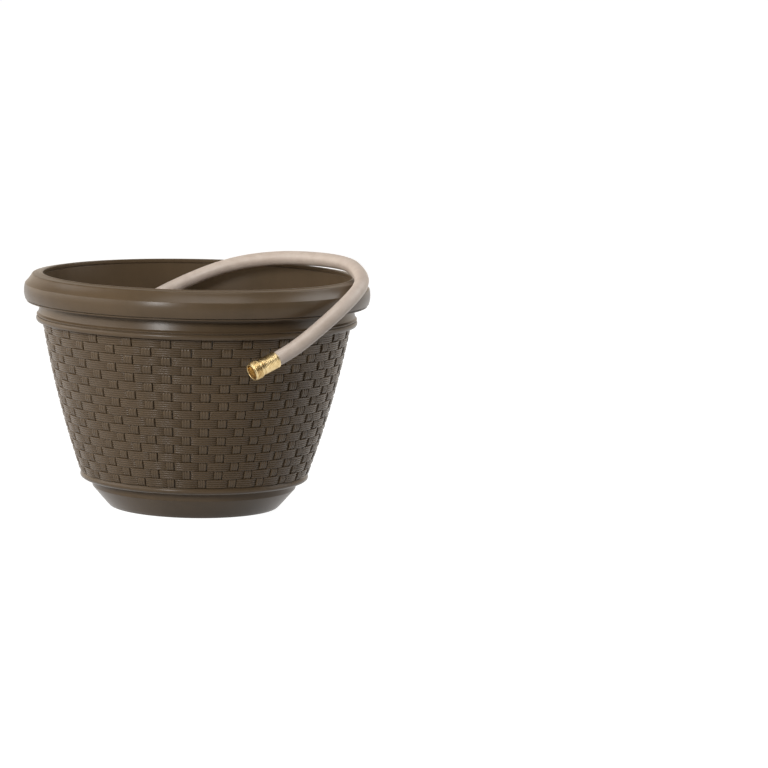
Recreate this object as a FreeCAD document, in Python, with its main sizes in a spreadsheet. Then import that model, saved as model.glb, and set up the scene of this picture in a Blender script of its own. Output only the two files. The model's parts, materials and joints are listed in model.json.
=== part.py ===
import FreeCAD, Part

import math
import os

import Sketcher
from FreeCAD import Placement, Rotation, Vector

# Garden hose pot: a moulded pot with a woven-look side, and the garden hose stored in it.
# Millimetres. The origin is the centre of the pot's base, +Z is up and -Y is the front.

AXIS = "on_axis"
GROUND = "on_ground"

# Driving sizes: name, value, meaning.
SIZES = (
    ("overall_width", 508.0, "diameter over the rim"),
    ("overall_height", 342.6, "base to the top of the rim"),
    ("skin", 3.2, "thickness of the rim, collar and foot"),
    ("wall", 5.0, "thickness of the woven side, relief included"),
    ("rim_land", 16.4, "width of the flat top of the rim"),
    ("rim_fall", 1.8, "outward fall of the flat top"),
    ("crest_round", 1.6, "rounding of the mouth's edge"),
    ("bevel_width", 8.9, "width of the rim's bevel"),
    ("bevel_drop", 11.8, "height of the rim's bevel"),
    ("bevel_bulge", 1.9, "how far the bevel bulges"),
    ("face_height", 25.0, "height of the rim's outer face"),
    ("face_bulge", 2.1, "how far that face bulges"),
    ("lip_step", 1.9, "step in to the thin lip under the face"),
    ("lip_height", 3.0, "height of the thin lip"),
    ("neck_height", 54.6, "rim top to the start of the collar's flare"),
    ("flare_height", 6.8, "height of the collar's flare"),
    ("flare_width", 5.2, "how far the collar flares out"),
    ("groove_height", 1.8, "height of the collar's groove"),
    ("groove_depth", 2.2, "depth of the collar's groove"),
    ("collar_bead", 7.4, "height of the bead under the groove"),
    ("bead_proud", 0.6, "how far that bead stands out past the collar"),
    ("bead_bulge", 1.4, "how far that bead bulges"),
    ("weave_gap", 1.2, "plain strip between that bead and the woven side"),
    ("weave_inset", 8.5, "how far the woven side's top stands in from the collar"),
    ("weave_foot_width", 337.0, "diameter of the woven side at its bottom"),
    ("weave_foot_height", 50.5, "base to the bottom of the woven side"),
    ("weave_bow", 4.7, "how far the side bows out from a straight cone"),
    ("weave_rows", 17, "rows of the weave"),
    ("row_ridges", 4, "ridges in each row"),
    ("ridge_depth", 0.95, "depth of the grooves between those ridges"),
    ("foot_notch", 2.1, "depth of the notch under the woven side"),
    ("foot_notch_height", 1.0, "height of that notch"),
    ("foot_bead", 8.4, "height of the bead under that notch"),
    ("foot_bead_bulge", 2.4, "how far that bead bulges"),
    ("foot_width", 301.6, "diameter of the foot"),
    ("foot_band", 11.0, "height of the foot's upright band"),
    ("foot_band_draft", 0.7, "draft of that band"),
    ("foot_gap", 1.2, "rise of the ledge between foot and bead"),
    ("base_width", 249.0, "diameter of the ring that the pot stands on"),
    ("base_round", 4.4, "rounding of the foot into that ring"),
    ("base_ring", 9.0, "width of that ring"),
    ("base_recess", 3.0, "how far the floor stands clear of the ground"),
    ("floor_thickness", 3.5, "thickness of the floor"),
    ("drain_diameter", 10.0, "drain hole"),
    ("drain_count", 6, "drain holes on the circle"),
    ("drain_circle", 150.0, "diameter of the circle of drain holes"),
    ("port_diameter", 50.0, "hose port low in the back"),
    ("port_height", 83.0, "base to the middle of the port"),
    ("port_boss", 6.0, "width of the flat ring around the port"),
    ("port_proud", 2.5, "how far that ring stands out"),
    ("port_root", 4.5, "how deep that ring is rooted in the wall"),
    ("hose_diameter", 21.0, "outside of the hose"),
    ("hose_bore", 15.9, "inside of the hose"),
    ("turn_pitch", 21.2, "one turn of the coil to the next"),
    ("coil_layers", 5, "layers in the coil"),
    ("coil_gap", 1.4, "room between the coil and the pot's side"),
    ("seat_gap", 0.3, "clearance between the hose and what it lies on"),
    ("ledge_clearance", 3.0, "drop of the coil's underside over the ledge"),
    ("ferrule_length", 26.0, "crimped sleeve on each end of the hose"),
    ("ferrule_diameter", 24.2, "outside of the sleeve"),
    ("ferrule_lip", 1.4, "turned-in front edge of the sleeve"),
    ("stem_inset", 2.0, "sleeve's rear edge to the stem's tail"),
    ("stem_bore", 12.5, "waterway through both stems"),
    ("thread_diameter", 27.0, "male hose thread, 3/4-11.5 NH"),
    ("thread_length", 14.3, "male hose thread"),
    ("collar_gap", 2.5, "plain neck behind the male thread"),
    ("collar_step", 0.6, "step down from the sleeve to that neck"),
    ("mouth_bore", 20.4, "counterbore in the male end"),
    ("mouth_depth", 10.5, "depth of that counterbore"),
    ("mouth_cone_depth", 2.4, "depth of the cone from there to the waterway"),
    ("mouth_bevel", 1.0, "chamfer at the male end and on the nut"),
    ("nut_diameter", 31.5, "outside of the swivel nut"),
    ("nut_thread_bore", 24.6, "minor diameter of the female hose thread"),
    ("nut_thread_depth", 11.5, "length of the nut's threaded bore"),
    ("nut_lip", 2.6, "nut's rear lip, which holds it on the stem"),
    ("nut_flutes", 12, "grip flutes round the nut"),
    ("flute_diameter", 4.4, "grip flute"),
    ("flute_depth", 0.9, "depth of a grip flute"),
    ("stem_neck", 18.0, "stem's neck inside the nut's rear lip"),
    ("flange_diameter", 23.4, "stem's flange, which the nut pulls on"),
    ("flange_thickness", 2.2, "that flange"),
    ("swivel_gap", 0.4, "running clearance of the nut"),
    ("washer_diameter", 25.4, "hose washer"),
    ("washer_bore", 15.9, "hole in the washer"),
    ("washer_thickness", 3.0, "hose washer"),
)

# Sizes that follow from the driving ones: name, formula.
DERIVED = (
    ("rim_radius", "overall_width / 2"),
    ("face_radius", "rim_radius - face_bulge"),
    ("face_curve", "((face_height / 2) ^ 2 + face_bulge ^ 2) / (2 * face_bulge)"),
    ("bevel_chord", "sqrt(bevel_width ^ 2 + bevel_drop ^ 2)"),
    ("bevel_curve", "bevel_chord ^ 2 / (8 * bevel_bulge) + bevel_bulge / 2"),
    ("land_radius", "face_radius - bevel_width"),
    ("mouth_radius", "land_radius - rim_land"),
    ("land_level", "overall_height - rim_fall"),
    ("bevel_level", "land_level - bevel_drop"),
    ("face_level", "bevel_level - face_height"),
    ("lip_radius", "face_radius - lip_step"),
    ("lip_level", "face_level - lip_height"),
    ("skirt_radius", "lip_radius - skin"),
    ("neck_radius", "mouth_radius + skin"),
    ("flare_level", "overall_height - neck_height"),
    ("collar_radius", "neck_radius + flare_width"),
    ("groove_top", "flare_level - flare_height"),
    ("groove_base", "groove_top - groove_height"),
    ("groove_radius", "collar_radius - groove_depth"),
    ("bead_curve", "((collar_bead / 2) ^ 2 + bead_bulge ^ 2) / (2 * bead_bulge)"),
    ("bead_radius", "collar_radius + bead_proud - bead_bulge"),
    ("bead_base", "groove_base - collar_bead"),
    ("weave_top_radius", "collar_radius - weave_inset"),
    ("weave_top_level", "bead_base - weave_gap"),
    ("weave_foot_radius", "weave_foot_width / 2"),
    ("weave_run", "weave_top_radius - weave_foot_radius"),
    ("weave_rise", "weave_top_level - weave_foot_height"),
    ("weave_chord", "sqrt(weave_run ^ 2 + weave_rise ^ 2)"),
    ("weave_curve", "weave_chord ^ 2 / (8 * weave_bow) + weave_bow / 2"),
    ("weave_ridges", "round(weave_rows) * round(row_ridges)"),
    ("ridge_chord", "weave_chord / weave_ridges"),
    ("ridge_curve", "ridge_chord ^ 2 / (8 * ridge_depth) + ridge_depth / 2"),
    ("foot_bead_top", "weave_foot_height - foot_notch_height"),
    ("foot_bead_base", "foot_bead_top - foot_bead"),
    ("foot_bead_radius", "weave_foot_radius - foot_notch"),
    ("foot_bead_curve", "((foot_bead / 2) ^ 2 + foot_bead_bulge ^ 2) / (2 * foot_bead_bulge)"),
    ("foot_radius", "foot_width / 2"),
    ("ledge_level", "foot_bead_base - foot_gap"),
    ("band_level", "ledge_level - foot_band"),
    ("band_radius", "foot_radius - foot_band_draft"),
    ("base_radius", "base_width / 2"),
    ("heel_radius", "base_radius + base_round"),
    ("ring_radius", "base_radius - base_ring"),
    ("floor_level", "base_recess + floor_thickness"),
    ("floor_radius", "base_radius - skin"),
    ("inner_band_radius", "foot_radius - foot_band_draft - skin"),
    ("inner_wall_radius", "weave_foot_radius - wall"),
    ("inner_ledge_level", "ledge_level + skin"),
    ("inner_ledge_radius", "inner_wall_radius - foot_gap"),
    ("inner_foot_level", "inner_ledge_level + foot_gap"),
    ("inner_top_radius", "weave_top_radius - wall"),
    ("crest_round_level", "overall_height - crest_round"),
    ("crest_radius", "mouth_radius + crest_round"),
    ("channel_level", "overall_height - rim_fall - skin"),
    ("channel_radius", "land_radius - skin"),
    ("channel_shoulder", "bevel_level - skin / 2"),
    ("channel_top", "overall_height - skin - crest_round / 2"),
    ("drain_circle_radius", "drain_circle / 2"),
    ("port_ring_diameter", "port_diameter + 2 * port_boss"),
    ("port_share", "(port_height - weave_foot_height) / weave_rise"),
    ("port_bow", "4 * weave_bow * port_share * (1 - port_share)"),
    ("port_lean", "atan((weave_run + 4 * weave_bow * (1 - 2 * port_share)) / weave_rise)"),
    ("port_wall_radius", "weave_foot_radius + weave_run * port_share + port_bow"),
    ("port_face_depth", "port_wall_radius + port_proud * cos(port_lean)"),
    ("port_face_level", "port_height - port_proud * sin(port_lean)"),
    ("flute_circle", "nut_radius + flute_diameter / 2 - flute_depth"),
    ("hose_radius", "hose_diameter / 2"),
    ("bore_radius", "hose_bore / 2"),
    ("room_on_floor", "floor_radius - turn_pitch"),
    ("room_in_band", "inner_band_radius - 2 * turn_pitch"),
    ("room_over_ledge", "inner_wall_radius - 3 * turn_pitch"),
    ("coil_room", "min(room_on_floor; room_in_band; room_over_ledge)"),
    ("inner_turn", "coil_room - coil_gap - hose_radius"),
    ("coil_inner", "inner_turn - hose_radius"),
    ("coil_base", "floor_level + seat_gap"),
    ("coil_layer_two", "coil_base + turn_pitch"),
    ("coil_layer_three", "coil_layer_two + turn_pitch"),
    ("coil_outer_base", "max(coil_layer_three; inner_foot_level + ledge_clearance)"),
    ("coil_step", "coil_outer_base - ledge_clearance"),
    ("coil_outer_one", "inner_turn + turn_pitch + hose_radius"),
    ("coil_outer_two", "coil_outer_one + turn_pitch"),
    ("coil_outer_three", "coil_outer_two + turn_pitch"),
    ("coil_top", "coil_base + (coil_layers - 1) * turn_pitch + hose_diameter"),
    ("ferrule_radius", "ferrule_diameter / 2"),
    ("ferrule_front", "ferrule_length - ferrule_lip"),
    ("stem_radius", "stem_bore / 2"),
    ("thread_start", "ferrule_length + collar_gap"),
    ("thread_end", "thread_start + thread_length"),
    ("thread_radius", "thread_diameter / 2"),
    ("collar_outer", "ferrule_radius - collar_step"),
    ("mouth_bore_radius", "mouth_bore / 2"),
    ("mouth_floor", "thread_end - mouth_depth"),
    ("mouth_cone", "mouth_floor - mouth_cone_depth"),
    ("bevel_start", "thread_end - mouth_bevel"),
    ("bevel_radius", "thread_radius - mouth_bevel"),
    ("neck_half", "stem_neck / 2"),
    ("nut_rear", "ferrule_length + swivel_gap"),
    ("nut_lip_front", "nut_rear + nut_lip"),
    ("nut_lip_radius", "neck_half + swivel_gap"),
    ("flange_rear", "nut_lip_front + swivel_gap"),
    ("flange_front", "flange_rear + flange_thickness"),
    ("flange_radius", "flange_diameter / 2"),
    ("washer_front", "flange_front + washer_thickness"),
    ("washer_radius", "washer_diameter / 2"),
    ("washer_hole", "washer_bore / 2"),
    ("recess_radius", "washer_radius + swivel_gap"),
    ("nut_bore_radius", "nut_thread_bore / 2"),
    ("nut_thread_start", "washer_front + swivel_gap"),
    ("nut_front", "nut_thread_start + nut_thread_depth"),
    ("nut_radius", "nut_diameter / 2"),
    ("nut_shoulder", "nut_rear + mouth_bevel"),
    ("nut_rim", "nut_front - mouth_bevel"),
    ("nut_bevel", "nut_radius - mouth_bevel"),
)

# Outlines that are revolved: (radius, height, curve) per corner. A curve is the radius of the arc
# that reaches the corner from the one before, + bulging left of the way and - right of it. The
# pot's has the weave's ridges between its two halves.
RIM_OUTLINE = (
    ("crest_radius", "overall_height", "+crest_round"),
    ("land_radius", "land_level", ""),
    ("face_radius", "bevel_level", "+bevel_curve"),
    ("face_radius", "face_level", "+face_curve"),
    ("lip_radius", "face_level", ""),
    ("lip_radius", "lip_level", ""),
    ("skirt_radius", "lip_level", ""),
    ("skirt_radius", "channel_shoulder", ""),
    ("channel_radius", "channel_level", ""),
    ("neck_radius", "channel_top", ""),
    ("neck_radius", "flare_level", ""),
    ("collar_radius", "groove_top", ""),
    ("groove_radius", "groove_top", ""),
    ("groove_radius", "groove_base", ""),
    ("bead_radius", "groove_base", ""),
    ("bead_radius", "bead_base", "+bead_curve"),
)
FOOT_OUTLINE = (
    ("foot_bead_radius", "foot_bead_top", ""),
    ("foot_bead_radius", "foot_bead_base", "+foot_bead_curve"),
    ("foot_radius", "ledge_level", ""),
    ("band_radius", "band_level", ""),
    ("heel_radius", "base_round", ""),
    ("base_radius", GROUND, "+base_round"),
    ("ring_radius", GROUND, ""),
    ("ring_radius", "base_recess", ""),
    (AXIS, "base_recess", ""),
    (AXIS, "floor_level", ""),
    ("floor_radius", "floor_level", ""),
    ("inner_band_radius", "band_level", ""),
    ("inner_band_radius", "inner_ledge_level", ""),
    ("inner_ledge_radius", "inner_foot_level", ""),
    ("inner_wall_radius", "weave_foot_height", ""),
    ("inner_top_radius", "weave_top_level", "-weave_curve"),
    ("mouth_radius", "flare_level", ""),
    ("mouth_radius", "crest_round_level", ""),
)
COIL_OUTLINE = (
    ("coil_inner", "coil_base", ""),
    ("coil_outer_one", "coil_base", ""),
    ("coil_outer_two", "coil_layer_two", ""),
    ("coil_outer_two", "coil_step", ""),
    ("coil_outer_three", "coil_outer_base", ""),
    ("coil_outer_three", "coil_top", ""),
    ("coil_inner", "coil_top", ""),
)
FERRULE_OUTLINE = (
    ("hose_radius", GROUND, ""),
    ("ferrule_radius", GROUND, ""),
    ("ferrule_radius", "ferrule_length", ""),
    ("bore_radius", "ferrule_length", ""),
    ("bore_radius", "ferrule_front", ""),
    ("hose_radius", "ferrule_front", ""),
)
MALE_OUTLINE = (
    ("stem_radius", "stem_inset", ""),
    ("bore_radius", "stem_inset", ""),
    ("bore_radius", "ferrule_length", ""),
    ("collar_outer", "ferrule_length", ""),
    ("collar_outer", "thread_start", ""),
    ("thread_radius", "thread_start", ""),
    ("thread_radius", "bevel_start", ""),
    ("bevel_radius", "thread_end", ""),
    ("mouth_bore_radius", "thread_end", ""),
    ("mouth_bore_radius", "mouth_floor", ""),
    ("stem_radius", "mouth_cone", ""),
)
FEMALE_OUTLINE = (
    ("stem_radius", "stem_inset", ""),
    ("bore_radius", "stem_inset", ""),
    ("bore_radius", "ferrule_length", ""),
    ("neck_half", "ferrule_length", ""),
    ("neck_half", "flange_rear", ""),
    ("flange_radius", "flange_rear", ""),
    ("flange_radius", "flange_front", ""),
    ("stem_radius", "flange_front", ""),
)
NUT_OUTLINE = (
    ("nut_lip_radius", "nut_rear", ""),
    ("nut_bevel", "nut_rear", ""),
    ("nut_radius", "nut_shoulder", ""),
    ("nut_radius", "nut_rim", ""),
    ("nut_bevel", "nut_front", ""),
    ("nut_bore_radius", "nut_front", ""),
    ("nut_bore_radius", "nut_thread_start", ""),
    ("recess_radius", "nut_thread_start", ""),
    ("recess_radius", "nut_lip_front", ""),
    ("nut_lip_radius", "nut_lip_front", ""),
)
WASHER_OUTLINE = (
    ("washer_hole", "flange_front", ""),
    ("washer_radius", "flange_front", ""),
    ("washer_radius", "washer_front", ""),
    ("washer_hole", "washer_front", ""),
)

# Which way the hose's ends point.
MALE_WAY = Vector(-0.800, -0.458, -0.387)
FEMALE_WAY = Vector(-0.655, 0.730, -0.190)

# The hose's route outside the coil, chosen by hand for a pot of this size, which it follows when
# the pot's size changes. The run leaves the coil's top, makes one loose turn on it, climbs the
# inside of the pot, arches over the rim at the right and hangs in front. It ends in the sleeve.
RUN_WIDTH = 508.0
RUN_HEIGHT = 342.6
RUN_SLEEVE = (111.7, -244.4, 248.3)
RUN_ROUTE = (
    (-153, -27, 102),
    (-150, 40, 108),
    (-119, 100, 118),
    (-65, 141, 124),
    (0, 155, 124),
    (65, 141, 124),
    (119, 100, 124),
    (150, 40, 124),
    (153, -27, 124),
    (127, -89, 124),
    (78, -134, 124),
    (20, -155, 124),
    (-40, -155, 125),
    (-101, -128, 130),
    (-155, -74, 146),
    (-180, -5, 175),
    (-176, 68, 205),
    (-143, 131, 240),
    (-91, 178, 275),
    (-22, 194, 311),
    (49, 183, 341),
    (118, 150, 355),
    (180, 98, 359),
    (220, 29, 359.6),
    (232, -47, 357),
    (239, -125, 346),
    (208, -197, 320),
    (151, -228, 272),
    (122, -239, 253),
)
# The tail leaves the coil's third layer, and passes out through the port to its own sleeve. Its
# points are measured from the middle of the port's face, for a port of this width.
TAIL_PORT = 50.0
TAIL_SLEEVE = (-31.8, 23.0, -8.73)
TAIL_ROUTE = (
    (68, -48.8, -21.23),
    (36, -37.8, -16.23),
    (3, -15.8, -7.23),
    (-23, 13.2, -6.23),
)
CORNER_SHARE = 0.45
TUBE_TOLERANCE = 0.01


def make_sheet(doc):
    """The spreadsheet of driving and derived sizes."""
    sheet = doc.addObject("Spreadsheet::Sheet", "sizes")
    row = 1
    for name, value, meaning in SIZES:
        sheet.set(f"A{row}", str(value))
        sheet.setAlias(f"A{row}", name)
        sheet.set(f"B{row}", meaning)
        row += 1
    row = fill_rows(sheet, row, DERIVED)
    doc.recompute()
    fill_rows(sheet, row, groove_sizes(round(sheet.weave_ridges)))
    doc.recompute()
    return sheet


def fill_rows(sheet, row, formulas):
    """Adds a named formula per row and gives the next free row."""
    for name, formula in formulas:
        sheet.set(f"A{row}", f"={formula}")
        sheet.setAlias(f"A{row}", name)
        row += 1
    return row


def groove_sizes(count):
    """Level and radius of each groove between the weave's ridges, from the top down."""
    for index in range(count + 1):
        share = f"(1 - {index} / {count})"
        out = f"(weave_run + 4 * weave_bow * (1 - {share})) * {share}"
        yield f"groove_{index}_level", f"weave_foot_height + weave_rise * {share}"
        yield f"groove_{index}_radius", f"weave_foot_radius - ridge_depth + {out}"


def size(name):
    """A size as a number."""
    value = getattr(sheet, name)
    return float(getattr(value, "Value", value))


def plane_of(body, role):
    """One of the body's own origin planes or axes."""
    return next(f for f in body.Origin.OriginFeatures if f.Role == role)


def sketch_on(body, name, role):
    """An empty sketch on one of the body's origin planes."""
    sketch = body.newObject("Sketcher::SketchObject", name)
    sketch.AttachmentSupport = [(plane_of(body, role), "")]
    sketch.MapMode = "FlatFace"
    return sketch


def bind(sketch, constraint, expression):
    """Adds a constraint and ties its value to the sheet."""
    index = sketch.addConstraint(constraint)
    sketch.setExpression(f"Constraints[{index}]", f"sizes.{expression}")


def bind_all(sketch, rules):
    """Adds constraints in one go and ties those with an expression to the sheet."""
    indices = sketch.addConstraint([constraint for constraint, _ in rules])
    for index, (_, expression) in zip(indices, rules):
        if expression:
            sketch.setExpression(f"Constraints[{index}]", f"sizes.{expression}")


def arc_between(start, end, radius, left):
    """The short arc from start to end, and which of its ends is at start."""
    chord = end - start
    across = Vector(-chord.y, chord.x, 0).normalize()
    away = math.sqrt(max(radius**2 - (chord.Length / 2) ** 2, 0.0))
    centre = (start + end) * 0.5 - across * (away if left else -away)
    first, last = (end, start) if left else (start, end)
    from_x = math.atan2(first.y - centre.y, first.x - centre.x)
    to_x = math.atan2(last.y - centre.y, last.x - centre.x)
    circle = Part.Circle(centre, Vector(0, 0, 1), radius)
    return Part.ArcOfCircle(circle, from_x, to_x), 2 if left else 1


def outline_sketch(body, name, outline):
    """A closed outline in the upright plane, each corner tied to its two sizes."""
    sketch = sketch_on(body, name, "XZ_Plane")
    corners = []
    for across, up, _ in outline:
        x = 0.0 if across == AXIS else size(across)
        y = 0.0 if up == GROUND else size(up)
        corners.append(Vector(x, y, 0))
    edges = []
    ends = []
    rules = []
    for edge, (across, up, curve) in enumerate(outline):
        start, end = corners[edge - 1], corners[edge]
        if curve:
            arc, at_start = arc_between(start, end, size(curve[1:]), curve[0] == "+")
            edges.append(arc)
            rules.append((Sketcher.Constraint("Radius", edge, size(curve[1:])), curve[1:]))
        else:
            edges.append(Part.LineSegment(start, end))
            at_start = 1
        ends.append((at_start, 3 - at_start))
    for edge, (across, up, _) in enumerate(outline):
        tip = ends[edge][1]
        follower = (edge + 1) % len(ends)
        rules.append((Sketcher.Constraint("Coincident", edge, tip, follower, ends[follower][0]), ""))
        if across == AXIS:
            rules.append((Sketcher.Constraint("PointOnObject", edge, tip, -2), ""))
        else:
            rules.append((Sketcher.Constraint("DistanceX", -1, 1, edge, tip, corners[edge].x), across))
        if up == GROUND:
            rules.append((Sketcher.Constraint("PointOnObject", edge, tip, -1), ""))
        else:
            rules.append((Sketcher.Constraint("DistanceY", -1, 1, edge, tip, corners[edge].y), up))
    sketch.addGeometry(edges, False)
    bind_all(sketch, rules)
    return sketch


def revolved_body(name, outline):
    """A body turned from an outline about its own Z axis."""
    body = doc.addObject("PartDesign::Body", name)
    body.Label = name
    sketch = outline_sketch(body, f"{name}_outline", outline)
    turned = body.newObject("PartDesign::Revolution", f"{name}_turned")
    turned.Profile = sketch
    turned.ReferenceAxis = (sketch, ["V_Axis"])
    turned.Angle = 360
    doc.recompute()
    return body


def circle_sketch(body, name, role, diameter, offset=""):
    """A circle on an origin plane, its centre on that plane's X axis."""
    sketch = sketch_on(body, name, role)
    away = size(offset) if offset else 0.0
    ring = sketch.addGeometry(Part.Circle(Vector(away, 0, 0), Vector(0, 0, 1), size(diameter) / 2))
    bind(sketch, Sketcher.Constraint("Diameter", ring, size(diameter)), diameter)
    if offset:
        sketch.addConstraint(Sketcher.Constraint("PointOnObject", ring, 3, -1))
        bind(sketch, Sketcher.Constraint("DistanceX", -1, 1, ring, 3, away), offset)
    else:
        sketch.addConstraint(Sketcher.Constraint("Coincident", ring, 3, -1, 1))
    return sketch


def cut_through(body, name, sketch, length):
    """A pocket of that length along the sketch's normal, which has to take material away."""
    before = body.Shape.Volume
    pocket = body.newObject("PartDesign::Pocket", name)
    pocket.Profile = sketch
    pocket.Reversed = True
    pocket.setExpression("Length", length)
    doc.recompute()
    if body.Shape.Volume >= before:
        raise RuntimeError(f"{name} cuts nothing")
    return pocket


def repeat_round(body, feature, axis, count):
    """Repeats a feature evenly round an axis and makes the result the body's tip."""
    pattern = body.newObject("PartDesign::PolarPattern", f"{feature.Name}_round")
    pattern.Originals = [feature]
    pattern.Axis = axis
    pattern.Angle = 360
    pattern.setExpression("Occurrences", f"sizes.{count}")
    body.Tip = pattern
    doc.recompute()
    return pattern


def ridge_outline():
    """The woven side's section, an arc for each ridge between two grooves."""
    corners = [("groove_0_radius", "groove_0_level", "")]
    for index in range(1, round(size("weave_ridges")) + 1):
        corners.append((f"groove_{index}_radius", f"groove_{index}_level", "+ridge_curve"))
    return corners


def make_pot():
    """The moulded pot, with its drain holes and the hose port low in the back."""
    pot = revolved_body("pot", (*RIM_OUTLINE, *ridge_outline(), *FOOT_OUTLINE))
    upright = (plane_of(pot, "Z_Axis"), [""])
    middle = circle_sketch(pot, "middle_drain", "XY_Plane", "drain_diameter")
    cut_through(pot, "middle_drain_hole", middle, "sizes.floor_level + 1")
    ring = circle_sketch(pot, "drain", "XY_Plane", "drain_diameter", "drain_circle_radius")
    drain = cut_through(pot, "drain_hole", ring, "sizes.floor_level + 1")
    repeat_round(pot, drain, upright, "drain_count")
    boss = circle_sketch(pot, "port_ring", "XZ_Plane", "port_ring_diameter")
    place_port_sketch(boss)
    before = pot.Shape.Volume
    pad = pot.newObject("PartDesign::Pad", "port_boss")
    pad.Profile = boss
    pad.setExpression("Length", "sizes.port_proud + sizes.port_root")
    doc.recompute()
    if pot.Shape.Volume <= before:
        raise RuntimeError("the port's ring adds nothing")
    hole = circle_sketch(pot, "port", "XZ_Plane", "port_diameter")
    place_port_sketch(hole)
    cut_through(pot, "port_hole", hole, "2 * (sizes.port_proud + sizes.wall)")
    return pot


def place_port_sketch(sketch):
    """Stands a sketch square to the woven side at the port, just outside it, facing in."""
    sketch.setExpression("AttachmentOffset.Base.y", "sizes.port_face_level")
    sketch.setExpression("AttachmentOffset.Base.z", "-sizes.port_face_depth")
    sketch.AttachmentOffset = Placement(
        Vector(0, size("port_face_level"), -size("port_face_depth")),
        Rotation(Vector(1, 0, 0), -size("port_lean")),
    )
    doc.recompute()


def route_edges(points):
    """Straight runs joined by tangent arcs, each arc as large as its two runs allow."""
    edges = []
    radii = []
    start = points[0]
    for before, corner, after in zip(points, points[1:], points[2:]):
        back = before - corner
        ahead = after - corner
        half = (math.pi - back.getAngle(ahead)) / 2
        reach = CORNER_SHARE * min(back.Length, ahead.Length)
        radius = reach / math.tan(half)
        inward = (back.normalize() + ahead.normalize()).normalize()
        first = corner + back * reach
        last = corner + ahead * reach
        middle = corner + inward * (radius / math.cos(half) - radius)
        edges.append(Part.LineSegment(start, first).toShape())
        edges.append(Part.Arc(first, middle, last).toShape())
        radii.append(radius)
        start = last
    edges.append(Part.LineSegment(start, points[-1]).toShape())
    return edges, radii


def swept(path, radius, start, way):
    """A round rod along a path."""
    ring = Part.Wire(Part.Circle(start, way, radius).toShape())
    return path.makePipeShell([ring], True, False)


def make_hose(name, points):
    """A length of hose along a route, with its bore."""
    edges, radii = route_edges(points)
    path = Part.Wire(edges)
    way = points[1] - points[0]
    outer = swept(path, size("hose_radius"), points[0], way)
    tube = outer.cut(swept(path, size("bore_radius"), points[0], way))
    section = math.pi * (size("hose_radius") ** 2 - size("bore_radius") ** 2)
    if abs(tube.Volume / (section * path.Length) - 1) > TUBE_TOLERANCE:
        raise RuntimeError(f"{name} has a wrong volume")
    print(f"{name}: {path.Length:.0f} mm, radii", [round(r) for r in radii])
    hose = doc.addObject("Part::Feature", name)
    hose.Label = name
    hose.Shape = tube
    hose.Placement = Placement()
    return hose


def on_pot(point):
    """A point of the run, which widens and rises with the pot."""
    across = size("overall_width") / RUN_WIDTH
    up = size("overall_height") / RUN_HEIGHT
    return Vector(point[0] * across, point[1] * across, point[2] * up)


def at_port(point):
    """A point of the tail, which goes where the port goes and widens with it."""
    middle = Vector(0, size("port_face_depth"), size("port_face_level"))
    return middle + Vector(*point) * (size("port_diameter") / TAIL_PORT)


def hose_end(seat, way):
    """Where the hose's cut end is inside its sleeve."""
    return seat + Vector(way).normalize() * size("ferrule_front")


def seat_on_end(body, seat, way):
    """Turns a fitting's Z axis along the hose's end and sets it at its seat."""
    body.Placement = Placement(seat, Rotation(Vector(0, 0, 1), way))


def make_fittings(male_seat, female_seat):
    """The brass ends, each a stem in the hose's bore with a sleeve crimped over the hose."""
    pieces = []
    for name, outline, seat, way in (
        ("male_fitting", MALE_OUTLINE, male_seat, MALE_WAY),
        ("male_ferrule", FERRULE_OUTLINE, male_seat, MALE_WAY),
        ("female_stem", FEMALE_OUTLINE, female_seat, FEMALE_WAY),
        ("female_ferrule", FERRULE_OUTLINE, female_seat, FEMALE_WAY),
        ("hose_washer", WASHER_OUTLINE, female_seat, FEMALE_WAY),
        ("swivel_nut", NUT_OUTLINE, female_seat, FEMALE_WAY),
    ):
        body = revolved_body(name, outline)
        seat_on_end(body, seat, way)
        pieces.append(body)
    nut = pieces[-1]
    flute = circle_sketch(nut, "flute", "XY_Plane", "flute_diameter", "flute_circle")
    groove = cut_through(nut, "flute_cut", flute, "sizes.nut_front + 1")
    repeat_round(nut, groove, (plane_of(nut, "Z_Axis"), [""]), "nut_flutes")
    return pieces


def check_shapes(pieces):
    """Stops if an object failed, or a piece has no valid solid."""
    doc.recompute()
    for item in doc.Objects:
        if "Invalid" in item.State or "Error" in item.State:
            raise RuntimeError(f"{item.Name} failed: {item.State}")
    for piece in pieces:
        if piece.Shape.isNull() or not piece.Shape.isValid() or not piece.Shape.Solids:
            raise RuntimeError(f"{piece.Label} has no valid solid")


doc = FreeCAD.newDocument("hose_pot")
sheet = make_sheet(doc)
male_seat = on_pot(RUN_SLEEVE)
female_seat = at_port(TAIL_SLEEVE)
run_points = [on_pot(point) for point in RUN_ROUTE] + [hose_end(male_seat, MALE_WAY)]
tail_points = [at_port(point) for point in TAIL_ROUTE] + [hose_end(female_seat, FEMALE_WAY)]
parts = [make_pot(), revolved_body("hose_coil", COIL_OUTLINE)]
parts += [make_hose("hose_run", run_points), make_hose("hose_tail", tail_points)]
parts += make_fittings(male_seat, female_seat)
check_shapes(parts)
os.makedirs("parts", exist_ok=True)
for part in parts:
    part.Shape.exportStep(f"parts/{part.Label}.step")
    print(f"{part.Label}: {part.Shape.Volume / 1000:.1f} cm3, {len(part.Shape.Faces)} faces")
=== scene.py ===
"""Looks of the garden hose pot: a woven-look resin pot, its coiled hose and the brass ends.

Every length is in millimetres until a mesh is written, in metres, in the part's own frame:
the origin is the centre of the pot's base, +Z is up and -Y is the front.
"""

from __future__ import annotations

import json
import logging
import math
from dataclasses import dataclass
from enum import Enum
from typing import Callable, Iterable, Sequence

import bmesh
import bpy
from mathutils import Matrix, Quaternion, Vector


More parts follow.
